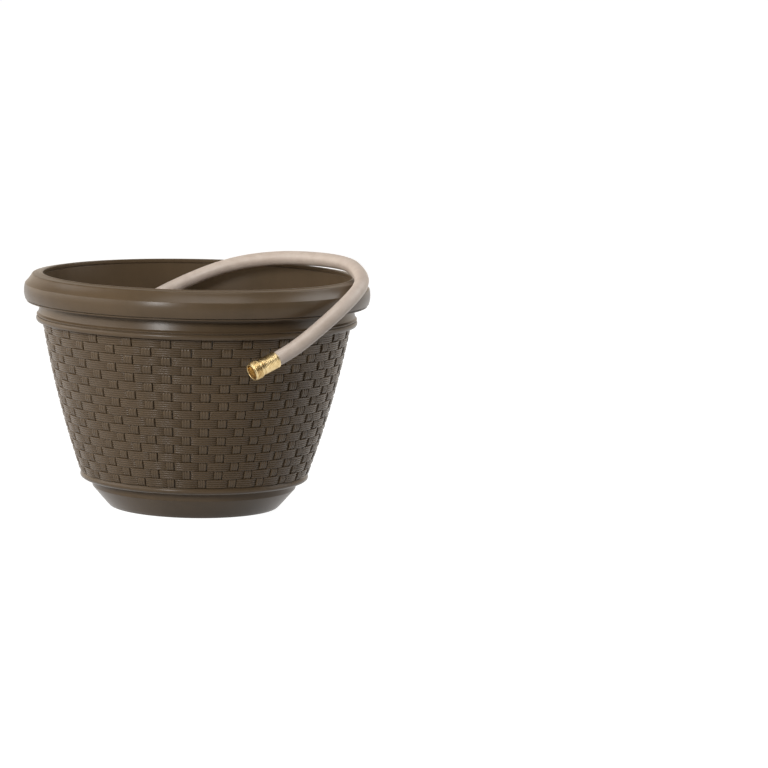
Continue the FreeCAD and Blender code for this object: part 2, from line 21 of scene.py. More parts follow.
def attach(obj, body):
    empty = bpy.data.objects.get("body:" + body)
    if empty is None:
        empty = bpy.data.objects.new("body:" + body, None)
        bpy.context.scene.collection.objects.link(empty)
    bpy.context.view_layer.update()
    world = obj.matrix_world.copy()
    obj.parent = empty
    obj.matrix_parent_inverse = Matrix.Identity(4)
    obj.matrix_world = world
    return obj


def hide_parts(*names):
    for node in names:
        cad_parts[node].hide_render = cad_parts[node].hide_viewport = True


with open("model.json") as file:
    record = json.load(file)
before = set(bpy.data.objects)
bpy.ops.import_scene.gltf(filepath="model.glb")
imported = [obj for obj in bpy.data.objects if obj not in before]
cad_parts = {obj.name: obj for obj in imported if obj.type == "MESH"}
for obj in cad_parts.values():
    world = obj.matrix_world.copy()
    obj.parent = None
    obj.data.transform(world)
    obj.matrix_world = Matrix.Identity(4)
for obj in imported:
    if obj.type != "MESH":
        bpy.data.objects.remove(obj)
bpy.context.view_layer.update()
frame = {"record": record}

log = logging.getLogger("hose_pot")

MM = 0.001
FAR = 1e6
# from the rear edge of each end's sleeve to the point of its thread's mount
MALE_THREAD_AHEAD = 35.15
NUT_THREAD_AHEAD = 40.75

Point = tuple[float, float, float]
Profile = list[tuple[float, float]]
Relief = Callable[[float, float, float], float]
Keep = Callable[[Vector], bool]
Loop = list[bmesh.types.BMVert]
Sockets = dict[object, object]


class Slot(str, Enum):
    """The record's material slots."""

    RESIN = "resin"
    HOSE = "hose"
    BRASS = "brass"
    WASHER = "washer"


class Body(str, Enum):
    """The rigid bodies that pieces ride on."""

    POT = "pot"
    NUT = "swivel_nut"


class Seat(Enum):
    """The surface that a point of the port's ring is measured from."""

    SIDE = "side"
    FACE = "face"
    INSIDE = "inside"


def ease(share: float) -> float:
    """Smooth step."""
    held = min(max(share, 0.0), 1.0)
    return held * held * (3.0 - 2.0 * held)


def bulge(share: float, height: float) -> float:
    """A bow that is highest half way."""
    return 4.0 * height * share * (1.0 - share)


def circle(count: int) -> Profile:
    """Cosines and sines of even steps round a circle."""
    angles = [math.tau * index / count for index in range(count)]
    return [(math.cos(angle), math.sin(angle)) for angle in angles]


def linked(name: str, data: bpy.types.ID) -> bpy.types.Object:
    """Puts data into the scene.

    Args:
        name: The object's name.
        data: Its mesh, curve, light or camera.

    Returns:
        The object.
    """
    made = bpy.data.objects.new(name, data)
    bpy.context.scene.collection.objects.link(made)
    return made


# --- Shader tools ---


class Signal:
    """A shader socket that does sums: +, -, * and / make Math nodes."""

    def __init__(self, recipe: "Recipe", socket: bpy.types.NodeSocket) -> None:
        """Wraps an output socket."""
        self.recipe = recipe
        self.socket = socket

    def sum_with(self, operation: str, first: object, second: object) -> "Signal":
        """One Math node."""
        return self.recipe.node("ShaderNodeMath", {"operation": operation}, {0: first, 1: second})

    def __add__(self, other: object) -> "Signal":
        """Sum."""
        return self.sum_with("ADD", self, other)

    def __radd__(self, other: object) -> "Signal":
        """Sum, the other way round."""
        return self.sum_with("ADD", other, self)

    def __sub__(self, other: object) -> "Signal":
        """Difference."""
        return self.sum_with("SUBTRACT", self, other)

    def __rsub__(self, other: object) -> "Signal":
        """Difference, the other way round."""
        return self.sum_with("SUBTRACT", other, self)

    def __mul__(self, other: object) -> "Signal":
        """Product."""
        return self.sum_with("MULTIPLY", self, other)

    def __rmul__(self, other: object) -> "Signal":
        """Product, the other way round."""
        return self.sum_with("MULTIPLY", other, self)

    def __truediv__(self, other: object) -> "Signal":
        """Quotient."""
        return self.sum_with("DIVIDE", self, other)

    def clamped(self) -> "Signal":
        """The same signal held between 0 and 1."""
        return self.recipe.node("ShaderNodeClamp", {}, {"Value": self})


class Recipe:
    """A material's node tree, built through one method."""

    def __init__(self, name: str) -> None:
        """Starts an empty material.

        Args:
            name: The material's name.
        """
        self.material = bpy.data.materials.new(name)
        self.material.use_nodes = True
        self.tree = self.material.node_tree
        self.tree.nodes.clear()
        self.output = self.tree.nodes.new("ShaderNodeOutputMaterial")

    def node(self, kind: str, settings: dict[str, object], inputs: Sockets, out: object = 0) -> Signal:
        """Adds a node.

        Args:
            kind: The node's type.
            settings: Its own properties.
            inputs: Socket name or number to a signal or a value.
            out: The output to hand back, by name or number.

        Returns:
            That output.
        """
        made = self.tree.nodes.new(kind)
        for key, value in settings.items():
            setattr(made, key, value)
        for key, value in inputs.items():
            if isinstance(value, Signal):
                self.tree.links.new(value.socket, made.inputs[key])
            else:
                made.inputs[key].default_value = value
        return Signal(self, made.outputs[out])

    def place(self) -> Signal:
        """Object coordinates, in metres."""
        return self.node("ShaderNodeTexCoord", {}, {}, "Object")

    def noise(self, scale: float, detail: float, stretch: Point = (1.0, 1.0, 1.0)) -> Signal:
        """Noise over the object's own coordinates."""
        where = self.node("ShaderNodeVectorMath", {"operation": "MULTIPLY"}, {0: self.place(), 1: stretch})
        return self.node("ShaderNodeTexNoise", {}, {"Vector": where, "Scale": scale, "Detail": detail})

    def blend(self, share: Signal, low: Colour, high: Colour) -> Signal:
        """A mix of two colours."""
        settings = {"data_type": "RGBA"}
        return self.node("ShaderNodeMix", settings, {"Factor": share, 6: low.linear(), 7: high.linear()}, 2)

    def bump(self, height: Signal, depth: float, strength: float) -> Signal:
        """A bumped normal."""
        return self.node("ShaderNodeBump", {}, {"Height": height, "Distance": depth, "Strength": strength})

    def surface(self, inputs: Sockets) -> None:
        """Ends the material in a Principled shader."""
        shader = self.node("ShaderNodeBsdfPrincipled", {}, inputs)
        self.tree.links.new(shader.socket, self.output.inputs["Surface"])


class SkyRecipe(Recipe):
    """The same for a world's node tree."""

    def __init__(self, name: str) -> None:
        """Starts an empty world.

        Args:
            name: The world's name.
        """
        self.world = bpy.data.worlds.new(name)
        self.world.use_nodes = True
        self.tree = self.world.node_tree
        self.tree.nodes.clear()
        self.output = self.tree.nodes.new("ShaderNodeOutputWorld")


@dataclass(frozen=True)
class Colour:
    """A display colour, 0 to 255 a channel."""

    red: float
    green: float
    blue: float

    def linear(self) -> tuple[float, float, float, float]:
        """The colour as light.

        Returns:
            Scene-linear red, green and blue, with an alpha of 1.
        """
        shares = [value / 255.0 for value in (self.red, self.green, self.blue)]
        light = [s / 12.92 if s <= 0.04045 else ((s + 0.055) / 1.055) ** 2.4 for s in shares]
        return (light[0], light[1], light[2], 1.0)


# --- Finishes ---


@dataclass(frozen=True)
class Finish:
    """A clouded surface with a fine grain, from which each finish differs in its numbers."""

    name: str
    shaded: Colour
    lit: Colour
    roughness: float
    roughness_spread: float
    cloud_scale: float
    grain_scale: float
    grain_depth: float
    grain_strength: float = 0.3
    grain_roughness: float = 0.0
    cloud_detail: float = 4.0
    grain_detail: float = 2.0
    tone_low: float = 0.25
    tone_gain: float = 2.0
    metallic: float = 0.0
    specular: float = 0.5
    coat: float = 0.0
    coat_roughness: float = 0.03

    def tone(self, recipe: Recipe, cloud: Signal) -> Signal:
        """How far the colour goes from shaded to lit."""
        return ((cloud - self.tone_low) * self.tone_gain).clamped()

    def build(self) -> bpy.types.Material:
        """Makes the material.

        Returns:
            The material.
        """
        recipe = Recipe(self.name)
        cloud = recipe.noise(self.cloud_scale, self.cloud_detail)
        grain = recipe.noise(self.grain_scale, self.grain_detail)
        clouded = self.roughness + (cloud - 0.5) * self.roughness_spread
        recipe.surface(
            {
                "Base Color": recipe.blend(self.tone(recipe, cloud), self.shaded, self.lit),
                "Metallic": self.metallic,
                "Roughness": clouded + (grain - 0.5) * self.grain_roughness,
                "Normal": recipe.bump(grain, self.grain_depth, self.grain_strength),
                "IOR": 1.5,
                "Specular IOR Level": self.specular,
                "Coat Weight": self.coat,
                "Coat Roughness": self.coat_roughness,
            }
        )
        return recipe.material


@dataclass(frozen=True)
class ResinFinish(Finish):
    """Moulded brown resin: satin, faintly mottled and streaked, with a fine grain."""

    name: str = "resin_brown"
    shaded: Colour = Colour(81, 67, 50)
    lit: Colour = Colour(95, 79, 60)
    roughness: float = 0.32
    roughness_spread: float = 0.12
    cloud_scale: float = 9.0
    grain_scale: float = 900.0
    grain_depth: float = 0.00012
    grain_strength: float = 0.35
    grain_roughness: float = 0.08
    specular: float = 0.2
    coat: float = 0.05
    coat_roughness: float = 0.2
    streak_scale: float = 60.0
    streak_stretch: Point = (1.0, 1.0, 0.25)
    streak_share: float = 0.3

    def tone(self, recipe: Recipe, cloud: Signal) -> Signal:
        """The same with upright streaks."""
        streak = recipe.noise(self.streak_scale, 2.0, self.streak_stretch)
        return super().tone(recipe, cloud * (1.0 - self.streak_share) + streak * self.streak_share)


@dataclass(frozen=True)
class VinylFinish(Finish):
    """The hose's smooth greige cover, faintly clouded."""

    name: str = "hose_vinyl"
    shaded: Colour = Colour(187, 172, 160)
    lit: Colour = Colour(199, 186, 175)
    roughness: float = 0.46
    roughness_spread: float = 0.2
    cloud_scale: float = 70.0
    grain_scale: float = 1400.0
    grain_depth: float = 0.0001
    tone_low: float = 0.3
    tone_gain: float = 2.4
    coat: float = 0.08
    coat_roughness: float = 0.3


@dataclass(frozen=True)
class BrassFinish(Finish):
    """Turned brass, slightly dulled, with fine turning marks."""

    name: str = "brass_turned"
    shaded: Colour = Colour(178, 150, 100)
    lit: Colour = Colour(226, 204, 156)
    roughness: float = 0.34
    roughness_spread: float = 0.22
    cloud_scale: float = 130.0
    grain_scale: float = 2600.0
    grain_depth: float = 0.00005
    grain_strength: float = 0.25
    grain_roughness: float = 0.1
    metallic: float = 1.0


@dataclass(frozen=True)
class RubberFinish(Finish):
    """The hose washer's black rubber."""

    name: str = "washer_rubber"
    shaded: Colour = Colour(26, 26, 26)
    lit: Colour = Colour(46, 46, 45)
    roughness: float = 0.6
    roughness_spread: float = 0.3
    cloud_scale: float = 300.0
    cloud_detail: float = 3.0
    grain_scale: float = 300.0
    grain_depth: float = 0.0001
    grain_detail: float = 3.0
    tone_low: float = 0.0
    tone_gain: float = 1.0


@dataclass(frozen=True)
class FloorFinish:
    """A white sweep that stays white to the camera and keeps the part's shadow."""

    name: str = "floor_white"
    paper: Colour = Colour(146, 146, 146)
    lift: float = 0.96

    def build(self) -> bpy.types.Material:
        """Makes the material.

        Returns:
            The material.
        """
        recipe = Recipe(self.name)
        rays = ("Is Camera Ray", "Is Glossy Ray", "Is Transmission Ray")
        camera, glossy, through = (recipe.node("ShaderNodeLightPath", {}, {}, ray) for ray in rays)
        seen = (camera + glossy + through).clamped()
        diffuse = recipe.node("ShaderNodeBsdfDiffuse", {}, {"Color": self.paper.linear()})
        glow = recipe.node("ShaderNodeEmission", {}, {"Strength": seen * self.lift})
        total = recipe.node("ShaderNodeAddShader", {}, {0: diffuse, 1: glow})
        recipe.tree.links.new(total.socket, recipe.output.inputs["Surface"])
        return recipe.material


# --- Mesh tools ---


@dataclass(frozen=True)
class Corner:
    """A corner of an outline that is turned about an axis."""

    radius: float
    height: float
    round: float = 0.0
    bow: float = 0.0


def outline(*rows: Sequence[float], step: float = 4.0, fillet: int = 5, most: float = 0.49) -> Profile:
    """Works an outline out into short runs.

    Args:
        rows: Each corner's radius, height, round and bow, in order. A bow bulges the run that ends
            at its corner, to the left of the way; a round is the radius of the fillet there.
        step: Longest run on a bowed stretch.
        fillet: Runs in each fillet.
        most: The share of a run that a fillet takes at the most.

    Returns:
        Radius and height of each point.
    """
    corners = [Corner(*row) for row in rows]
    path: list[tuple[Vector, float]] = []
    for index, corner in enumerate(corners):
        here = Vector((corner.radius, corner.height))
        if index and corner.bow:
            start = Vector((corners[index - 1].radius, corners[index - 1].height))
            way = here - start
            side = Vector((-way.y, way.x)).normalized()
            count = max(4, int(way.length / step))
            for part in range(1, count):
                share = part / count
                path.append((start + way * share + side * bulge(share, corner.bow), 0.0))
        path.append((here, corner.round))
    points: Profile = []
    for index, (here, rounding) in enumerate(path):
        if not rounding or index in (0, len(path) - 1):
            points.append((here.x, here.y))
            continue
        back = path[index - 1][0] - here
        ahead = path[index + 1][0] - here
        half = back.angle(ahead) / 2.0
        reach = min(rounding / math.tan(half), back.length * most, ahead.length * most)
        first = here + back.normalized() * reach
        last = here + ahead.normalized() * reach
        for part in range(fillet + 1):
            share = part / fillet
            spot = first.lerp(here, share).lerp(here.lerp(last, share), share)
            points.append((spot.x, spot.y))
    return points


class Surface:
    """A mesh under construction, in millimetres."""

    def __init__(self) -> None:
        """Starts empty."""
        self.points: list[Point] = []
        self.faces: list[tuple[int, ...]] = []

    def grid(self, rows: Sequence[Sequence[Point]], wrap: bool = False, keep: Keep | None = None) -> None:
        """Adds rows of points joined by faces.

        Args:
            rows: Rows of equal length.
            wrap: Joins the end of each row to its start.
            keep: Says whether the face with that centre stays.
        """
        base = len(self.points)
        width = len(rows[0])
        for row in rows:
            self.points.extend(row)
        for upper in range(len(rows) - 1):
            for left in range(width if wrap else width - 1):
                right = (left + 1) % width
                above = base + upper * width
                below = above + width
                face = (above + left, above + right, below + right, below + left)
                if not keep or keep(Vector(self.points[face[0]]).lerp(Vector(self.points[face[2]]), 0.5)):
                    self.faces.append(face)

    def turned(
        self, profile: Profile, segments: int, relief: Relief | None = None, keep: Keep | None = None
    ) -> None:
        """Adds a profile turned about Z.

        Args:
            profile: Radius and height of each point.
            segments: Faces in one turn.
            relief: Extra radius at an angle, a radius and a height.
            keep: Says whether the face with that centre stays.
        """
        rows = []
        for radius, height in profile:
            row = []
            for part in range(segments):
                angle = math.tau * part / segments
                away = radius + (relief(angle, radius, height) if relief else 0.0)
                row.append((away * math.cos(angle), away * math.sin(angle), height))
            rows.append(row)
        self.grid(rows, True, keep)

    def piece(
        self,
        name: str,
        material: bpy.types.Material,
        slot: Slot,
        body: Body,
        stands_for: Sequence[str],
        crease: float = 40.0,
        place: Matrix | None = None,
        outward: bool = True,
    ) -> bpy.types.Object:
        """Writes the mesh as an object that rides on a body.

        Args:
            name: The piece's name.
            material: Its finish.
            slot: The record's slot.
            body: The body that it rides on.
            stands_for: The CAD nodes that it stands for.
            crease: Edges that turn by more degrees stay sharp.
            place: Where the mesh goes, in millimetres.
            outward: Makes the faces' sides agree.

        Returns:
            The object.
        """
        mesh = bpy.data.meshes.new(name)
        mesh.from_pydata(self.points, [], self.faces)
        if place:
            mesh.transform(place)
        mesh.transform(Matrix.Scale(MM, 4))
        if outward:
            work = bmesh.new()
            work.from_mesh(mesh)
            bmesh.ops.recalc_face_normals(work, faces=work.faces)
            work.to_mesh(mesh)
            work.free()
        mesh.shade_smooth()
        mesh.set_sharp_from_angle(angle=math.radians(crease))
        mesh.materials.append(material)
        return dressed(linked(name, mesh), slot, body, stands_for)


def dressed(made: bpy.types.Object, slot: Slot, body: Body, stands_for: Sequence[str]) -> bpy.types.Object:
    """Puts a piece on its body, hides the CAD nodes that it stands for and logs its slot.

    Args:
        made: The piece.
        slot: The record's slot.
        body: The body that it rides on.
        stands_for: The CAD nodes that it stands for.

    Returns:
        The piece.
    """
    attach(made, body.value)
    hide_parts(*stands_for)
    log.info("%s: %s, rides on %s", made.name, slot.value, body.value)
    return made


# --- The pot ---


@dataclass(frozen=True)
class Wall:
    """The bowed cone of the pot's woven side."""

    top_radius: float = 226.5
    top: float = 270.8
    foot_radius: float = 168.5
    foot: float = 50.5
    bow: float = 4.7
    thickness: float = 5.0

    def radius(self, height: float) -> float:
        """The outside radius over the weave's crests."""
        share = (height - self.foot) / (self.top - self.foot)
        return self.foot_radius + (self.top_radius - self.foot_radius) * share + bulge(share, self.bow)


@dataclass(frozen=True)
class Port:
    """The hose port low in the back, square to the side."""

    height: float = 83.0
    radius: float = 25.0
    ring: float = 6.0
    proud: float = 2.5
    wall: Wall = Wall()

    def lean(self) -> float:
        """How far the port's axis dips outwards."""
        rise = self.wall.radius(self.height + 1.0) - self.wall.radius(self.height - 1.0)
        return math.atan(rise / 2.0)

    def way(self) -> Vector:
        """The port's axis, outwards."""
        return Vector((0.0, math.cos(self.lean()), -math.sin(self.lean())))

    def centre(self) -> Vector:
        """Where the axis meets the side."""
        return Vector((0.0, self.wall.radius(self.height), self.height))

    def distance(self, spot: Vector) -> float:
        """How far a point lies from the port's axis.

        Args:
            spot: The point.

        Returns:
            The distance, or a large one on the far side of the pot.
        """
        if spot.y < 0.0:
            return FAR
        away = spot - self.centre()
        return (away - self.way() * away.dot(self.way())).length

    def spares(self, overlap: float) -> Keep:
        """A test for points that lie outside the ring, less an overlap."""
        clear = self.radius + self.ring - overlap
        return lambda spot: self.distance(spot) > clear


@dataclass
class Moulding:
    """What the pot's sub-assemblies share: the resin, the bowed side and the port."""

    finish: bpy.types.Material
    wall: Wall = Wall()
    port: Port = Port()

    def write(self, surface: Surface, part: str, crease: float, outward: bool = True) -> None:
        """Writes a mesh as a piece of the pot."""
        surface.piece(f"pot_{part}", self.finish, Slot.RESIN, Body.POT, ["pot"], crease, outward=outward)


@dataclass
class PotShell(Moulding):
    """The pot's smooth surfaces: rim, collar, beads, foot and inside.

    The radii and heights are corners of the moulding's section.
    """

    segments: int = 320
    relief: float = 4.0
    side_top: float = 270.6
    side_foot: float = 50.2
    side_steps: int = 40
    drain_radius: float = 5.0
    drain_circle: float = 75.0
    drain_points: int = 32
    drains: int = 6
    floor_top: float = 6.5
    floor_under: float = 3.0
    floor_radius: float = 121.3
    recess_radius: float = 115.5
    floor_edge: float = 2.0
    ring_points: int = 96
    port_overlap: float = 3.0

    def upper_outline(self) -> Profile:
        """From the inside of the mouth over the rim and down to the weave.

        Returns:
            Radius and height of each point.
        """
        return outline(
            (226.6, 288.0, 3.0), (227.2, 335.6, 0.3), (228.2, 336.0, 0.3), (228.2, 337.0, 0.3),
            (226.6, 337.4, 0.5), (226.6, 342.6, 1.8), (230.0, 342.6, 1.4), (231.6, 341.8, 1.4),
            (242.0, 340.6, 3.0), (252.5, 326.6, 1.0, -0.8), (251.9, 304.2, 0.7, 1.7),
            (248.2, 303.6, 0.3), (248.2, 303.0, 0.2), (250.0, 302.8, 0.3), (250.0, 301.0, 0.6),
            (246.4, 301.0, 0.8), (246.4, 327.4, 2.0), (239.8, 337.2, 2.0), (229.8, 338.6, 2.5),
            (229.8, 296.0, 4.0), (232.6, 284.4, 1.5), (235.0, 281.9, 1.0), (235.0, 281.0, 0.4),
            (232.8, 280.6, 0.4), (232.8, 279.4, 0.4), (234.4, 279.2, 0.6), (234.4, 272.0, 1.0, 1.3),
            (231.0, 271.4, 0.4), (self.wall.radius(270.0) - self.relief, self.side_top, 0.6),
        )

    def side_outline(self) -> Profile:
        """The side behind the weave.

        Returns:
            Radius and height of each point.
        """
        tall = self.side_top - self.side_foot
        heights = [self.side_top - tall * part / self.side_steps for part in range(self.side_steps + 1)]
        return [(self.wall.radius(height) - self.relief, height) for height in heights]

    def lower_outline(self) -> Profile:
        """From the weave down over the foot to the recess under the floor.

        Returns:
            Radius and height of each point.
        """
        return outline(
            (self.wall.radius(self.side_foot) - self.relief, self.side_foot), (166.2, 50.0, 0.4),
            (166.4, 49.4, 0.4), (165.0, 41.2, 1.2, 2.6), (163.0, 40.4, 0.6), (151.4, 39.8, 1.0),
            (150.8, 38.4, 1.0), (150.1, 28.8, 2.5), (129.0, 4.6, 5.0), (124.5, 0.0, 2.6),
            (115.5, 0.0, 0.8), (self.recess_radius, self.floor_under, 0.4),
            (self.recess_radius - self.floor_edge, self.floor_under),
        )

    def inner_outline(self) -> Profile:
        """From the floor up the inside to the mouth.

        Returns:
            Radius and height of each point.
        """
        return outline(
            (self.floor_radius - self.floor_edge, self.floor_top),
            (self.floor_radius, self.floor_top, 1.5), (146.9, 28.9, 3.0), (146.9, 43.1, 1.0),
            (162.3, 44.3, 1.2), (163.5, 50.5, 2.0), (221.5, 270.8, 5.0, -4.7), (226.6, 288.0),
        )

    def floor_plate(self) -> None:
        """The floor with its drain holes."""
        work = bmesh.new()
        centres = [Vector((0.0, 0.0, 0.0))]
        centres += [Vector((x, y, 0.0)) * self.drain_circle for x, y in circle(self.drains)]
        rims: list[list[Loop]] = []
        for height, radius in ((self.floor_top, self.floor_radius), (self.floor_under, self.recess_radius)):
            level = Vector((0.0, 0.0, height))
            loops = [self.loop(work, level, radius - self.floor_edge, self.segments)]
            for centre in centres:
                loops.append(self.loop(work, centre + level, self.drain_radius, self.drain_points))
            edges = [work.edges.get((loop[i - 1], loop[i])) for loop in loops for i in range(len(loop))]
            bmesh.ops.triangle_fill(work, use_beauty=True, edges=edges)
            rims.append(loops[1:])
        for above, below in zip(*rims):
            for index in range(len(above)):
                work.faces.new((above[index - 1], above[index], below[index], below[index - 1]))
        surface = Surface()
        work.verts.index_update()
        surface.points = [tuple(vert.co) for vert in work.verts]
        surface.faces = [tuple(vert.index for vert in face.verts) for face in work.faces]
        work.free()
        self.write(surface, "floor", 30.0)

    @staticmethod
    def loop(work: bmesh.types.BMesh, centre: Vector, radius: float, count: int) -> Loop:
        """Adds a closed loop of edges.

        Args:
            work: The mesh to add to.
            centre: The loop's centre.
            radius: Its radius.
            count: Its points.

        Returns:
            The loop's points.
        """
        made = [work.verts.new(centre + Vector((x, y, 0.0)) * radius) for x, y in circle(count)]
        for index in range(count):
            work.edges.new((made[index - 1], made[index]))
        return made

    def port_ring(self) -> None:
        """The flat ring round the port, through the wall."""
        way = self.port.way()
        centre = self.port.centre()
        right = Vector((1.0, 0.0, 0.0))
        up = right.cross(way) * -1.0
        bore = self.port.radius
        outer = bore + self.port.ring
        section = (
            (outer, Seat.SIDE, -1.5), (outer, Seat.FACE, -0.9), (outer - 0.3, Seat.FACE, -0.25),
            (outer - 1.0, Seat.FACE, 0.0), (bore + 1.0, Seat.FACE, 0.0), (bore + 0.3, Seat.FACE, -0.3),
            (bore, Seat.FACE, -1.0), (bore, Seat.INSIDE, 0.6), (bore + 0.4, Seat.INSIDE, -0.15),
            (outer - 2.4, Seat.INSIDE, -0.2), (outer - 2.0, Seat.INSIDE, 0.4),
        )
        rows: list[list[Point]] = []
        for radius, seat, lift in section:
            row = []
            for x, y in circle(self.ring_points):
                spot = centre + right * (radius * x) + up * (radius * y)
                if seat is Seat.FACE:
                    spot += way * (self.port.proud + lift)
                else:
                    depth = self.relief if seat is Seat.SIDE else self.wall.thickness
                    spot += way * (self.depth_to(spot, depth) + lift)
                row.append(tuple(spot))
            rows.append(row)
        surface = Surface()
        surface.grid(rows, True)
        self.write(surface, "port_ring", 35.0)

    def depth_to(self, spot: Vector, depth: float, passes: int = 6) -> float:
        """How far along the port's axis a point is from a surface inside the side's crests.

        Args:
            spot: The point.
            depth: The surface's depth under the crests.
            passes: Times that the way is corrected.

        Returns:
            The way to go, in millimetres.
        """
        way = self.port.way()
        gone = 0.0
        for _ in range(passes):
            here = spot + way * gone
            gone += self.wall.radius(here.z) - depth - math.hypot(here.x, here.y)
        return gone

    def build(self) -> None:
        """Makes the shell's pieces."""
        spared = self.port.spares(self.port_overlap)
        outside = Surface()
        outside.turned(self.upper_outline(), self.segments)
        outside.turned(self.side_outline(), self.segments, keep=spared)
        outside.turned(self.lower_outline(), self.segments)
        self.write(outside, "outside", 48.0)
        inside = Surface()
        inside.turned(self.inner_outline(), self.segments, keep=spared)
        self.write(inside, "inside", 48.0)
        self.floor_plate()
        self.port_ring()


@dataclass(frozen=True)
class Strand:
    """One kind of strand: its ridges, and how it bulges out between the strands that cross it.

    Its crown is a depth in from the weave's crests, and its ends are depths in from the crown.
    The first end is the left one, or the upper one where it is upright.
    """

    upright: bool
    ridges: int
    ridge: float
    crown: float
    first_end: float
    last_end: float
    tip_share: float
    steps: int


@dataclass
class Weave(Moulding):
    """The basket weave moulded on the side: flat bundles over and under upright stakes."""

    bundle: Strand = Strand(False, 4, 0.95, 0.0, 1.0, 2.6, 1.0, 12)
    stake: Strand = Strand(True, 3, 0.55, 0.1, 1.5, 1.5, 0.5, 7)
    periods: int = 24
    rows: int = 17
    first_slot: float = -9.6
    stake_share: float = 0.232
    slot_share: float = 0.03
    row_gap: float = 0.2
    buried: float = 4.3
    corner: float = 0.8
    swell: float = 2.3
    ridge_steps: int = 4
    tip_steps: int = 3
    port_overlap: float = 1.5
    port_angle: float = 30.0
    port_height: float = 60.0
    bands: tuple[int, ...] = (6, 6, 5)

    def row_height(self) -> float:
        """The height of one row."""
        return (self.wall.top - self.wall.foot) / self.rows

    def stake_length(self) -> float:
        """The visible length of a stake in one row."""
        return self.row_height() - self.row_gap

    @staticmethod
    def ridge(share: float, count: int) -> float:
        """Rounded ridges side by side."""
        across = (share * count) % 1.0 * 2.0 - 1.0
        return math.sqrt(max(0.0, 1.0 - across * across))

    def across(self, count: int) -> list[float]:
        """Places across ridges, closer in the grooves.

        Args:
            count: How many ridges.

        Returns:
            Shares from 0 to 1.
        """
        places = [0.0]
        for index in range(count):
            for part in range(1, self.ridge_steps + 1):
                angle = math.pi * part / self.ridge_steps
                places.append((index + 0.5 - 0.5 * math.cos(angle)) / count)
        return places

    def along(self, length: float, parts: int) -> list[float]:
        """Places along a strand, with its rounded tips.

        Args:
            length: The strand's length, in millimetres.
            parts: Steps between the tips.

        Returns:
            Shares from 0 to 1.
        """
        start = self.corner / length
        quarters = [math.pi / 2.0 * part / self.tip_steps for part in range(self.tip_steps)]
        tips = [start * (1.0 - math.cos(quarter)) for quarter in quarters]
        middle = [start + (1.0 - 2.0 * start) * part / parts for part in range(parts + 1)]
        return tips + middle + [1.0 - tip for tip in reversed(tips)]

    def tip(self, share: float, length: float) -> float:
        """The rounding of a strand's tips.

        Args:
            share: Place along the strand.
            length: Its length, in millimetres.

        Returns:
            Extra depth.
        """
        inside = min(share, 1.0 - share) * length
        if inside >= self.corner:
            return 0.0
        return self.corner - math.sqrt(self.corner**2 - (self.corner - inside) ** 2)

    def spot(self, angle: float, height: float, depth: float) -> Point:
        """A point on the weave.

        Args:
            angle: Degrees round the pot from the front, to the right.
            height: Height over the ground.
            depth: How far in from the crests.

        Returns:
            The point.
        """
        turn = math.radians(angle)
        away = self.wall.radius(height) - depth
        return (away * math.sin(turn), -away * math.cos(turn), height)

    def stretch(
        self, surface: Surface, strand: Strand, box: tuple[float, float, float, float], keep: Keep | None
    ) -> None:
        """One visible stretch of a strand, with its sides down into the pot.

        Args:
            surface: The mesh to add to.
            strand: The kind of strand.
            box: Left and right angle, upper and lower height.
            keep: Says which faces stay.
        """
        left, right, upper, lower = box
        length = math.radians(right - left) * self.wall.radius(upper + self.row_gap / 2.0)
        if strand.upright:
            length = self.stake_length()

        def depth(aside: float, down: float) -> float:
            """The strand's depth under the crests.

            Args:
                aside: Share of the way from the left.
                down: Share of the way down.

            Returns:
                The depth.
            """
            main, cross = (down, aside) if strand.upright else (aside, down)
            reach = 2.0 * main - 1.0
            dive = (strand.last_end if reach > 0.0 else strand.first_end) * abs(reach) ** self.swell
            ridge = strand.ridge * (1.0 - self.ridge(cross, strand.ridges))
            return strand.crown + dive + ridge + self.tip(main, length) * strand.tip_share

        wide, tall = self.along(length, strand.steps), self.across(strand.ridges)
        if strand.upright:
            wide, tall = tall, wide
        rows = []
        for index, down in enumerate([0.0, *tall, 1.0]):
            row = []
            for place, aside in enumerate([0.0, *wide, 1.0]):
                edge = index in (0, len(tall) + 1) or place in (0, len(wide) + 1)
                here = self.buried if edge else depth(aside, down)
                row.append(self.spot(left + (right - left) * aside, upper + (lower - upper) * down, here))
            rows.append(row)
        surface.grid(rows, keep=keep)

    def build(self) -> None:
        """Makes the weave in bands of rows."""
        period = 360.0 / self.periods
        stake_width = period * self.stake_share
        slot = period * self.slot_share
        row = 0
        for band, count in enumerate(self.bands):
            surface = Surface()
            for _ in range(count):
                top = self.wall.top - self.row_height() * row
                upper = top - self.row_gap / 2.0
                lower = top - self.row_height() + self.row_gap / 2.0
                shift = self.first_slot + (period / 2.0 if row % 2 else 0.0)
                for index in range(self.periods):
                    edge = shift + period * index
                    keep = self.keeper(edge, top)
                    box = (edge - stake_width, edge, upper, top - self.stake_length())
                    self.stretch(surface, self.stake, box, keep)
                    box = (edge + slot, edge + period - stake_width, upper, lower)
                    self.stretch(surface, self.bundle, box, keep)
                row += 1
            self.write(surface, f"weave_{band + 1}", 60.0, outward=False)

    def keeper(self, angle: float, top: float) -> Keep | None:
        """The test that keeps the weave clear of the port.

        Args:
            angle: Where the cell is, in degrees.
            top: The row's top.

        Returns:
            A test for a face's centre, or nothing where the port is far away.
        """
        from_port = abs((angle % 360.0) - 180.0)
        if from_port > self.port_angle or top > self.port.height + self.port_height:
            return None
        return self.port.spares(self.port_overlap)


# --- The hose ---


